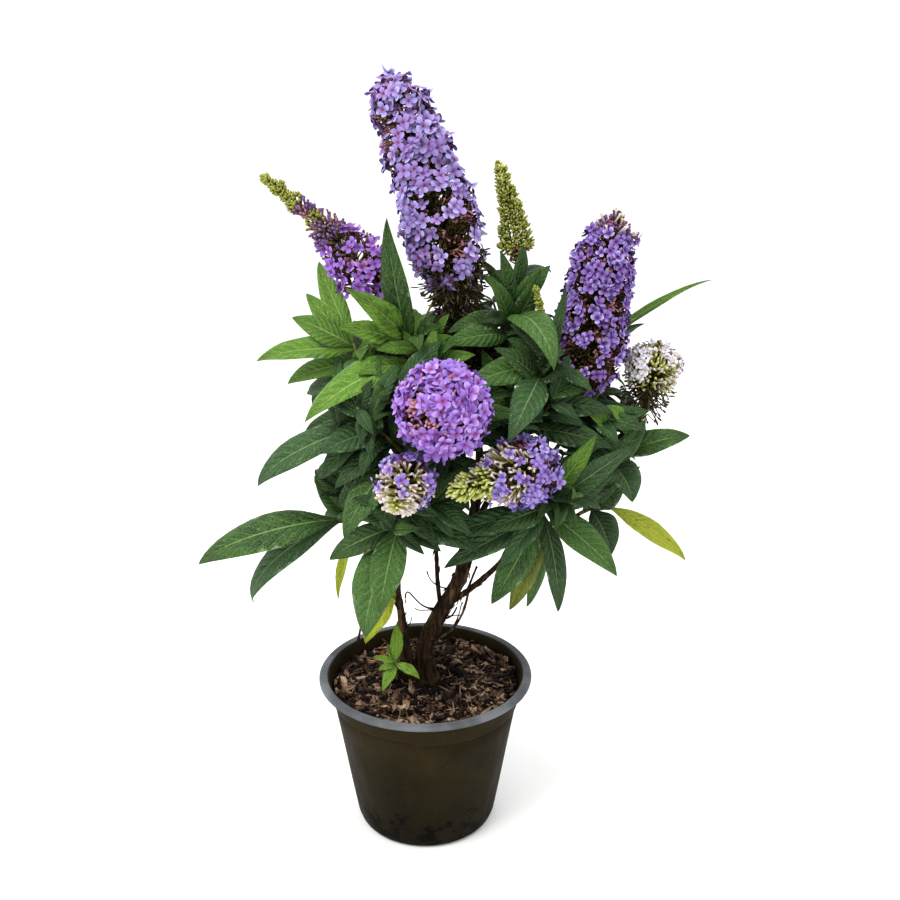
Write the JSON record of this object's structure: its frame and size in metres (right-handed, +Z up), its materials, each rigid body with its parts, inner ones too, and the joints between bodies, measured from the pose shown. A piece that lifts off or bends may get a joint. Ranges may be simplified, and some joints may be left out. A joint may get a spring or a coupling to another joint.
{
  "type": "potted butterfly bush",
  "caption": "Bushy flowering shrub in a round plastic nursery pot, with woody stems, lance-shaped leaves and long violet flower heads.",
  "frame": {"origin": "centre of the pot's flat underside", "axes": "+Z up along the pot's axis, -Y towards the bush's show side, +X to the right seen from there"},
  "size_m": [0.428, 0.3511, 0.6485],
  "materials": {
    "pot": "matte, dusty",
    "soil": "loose bark chips",
    "bark": "shredding bark",
    "leaf": "soft, slightly glossy",
    "young": "soft, slightly glossy",
    "lilac": "velvety",
    "violet": "velvety",
    "bud": "matte",
    "cream": "matte",
    "spent": "dry"
  },
  "bodies": {
    "root": {"pot": "pot", "soil": "soil", "trunk": "bark", "left_stem": "bark", "leader": "bark", "left_bough": "bark", "upper_left_bough": "bark", "left_mid_bough": "bark", "front_left_bough": "bark", "slender_stem": "bark", "right_bough": "bark", "upper_right_bough": "bark", "centre_right_bough": "bark", "right_mid_bough": "bark", "front_right_bough": "bark", "low_right_bough": "bark", "back_left_bough": "bark", "back_right_bough": "bark", "back_bough": "bark", "curved_shoot": "bark", "hanging_twig": "bark", "leaves_left_low": "leaf", "leaves_front_left": "leaf", "leaves_left_mid": "leaf", "leaves_upper_left": "young", "leaves_left_bloom": "young", "leaves_top": "leaf", "leaves_upper_right": "leaf", "leaves_centre_right": "leaf", "leaves_right_bloom": "leaf", "leaves_right_mid": "leaf", "leaves_front_right": "leaf", "leaves_low_right": "leaf", "leaves_front_centre": "leaf", "leaves_back_left": "leaf", "leaves_back_right": "leaf", "leaves_back": "leaf", "spent_flowers": "spent", "bloom_main": "lilac", "bloom_upper_left": "violet", "bud_spike": "bud", "small_bud_spike": "bud", "bloom_right": "violet", "bloom_far_right": "cream", "bloom_centre": "lilac", "bloom_lower_left": "cream", "bloom_lower_right": "violet", "bloom_back_left": "lilac", "bloom_back_right": "violet", "bloom_back": "lilac", "basal_shoot": "young"}
  },
  "joints": []
}
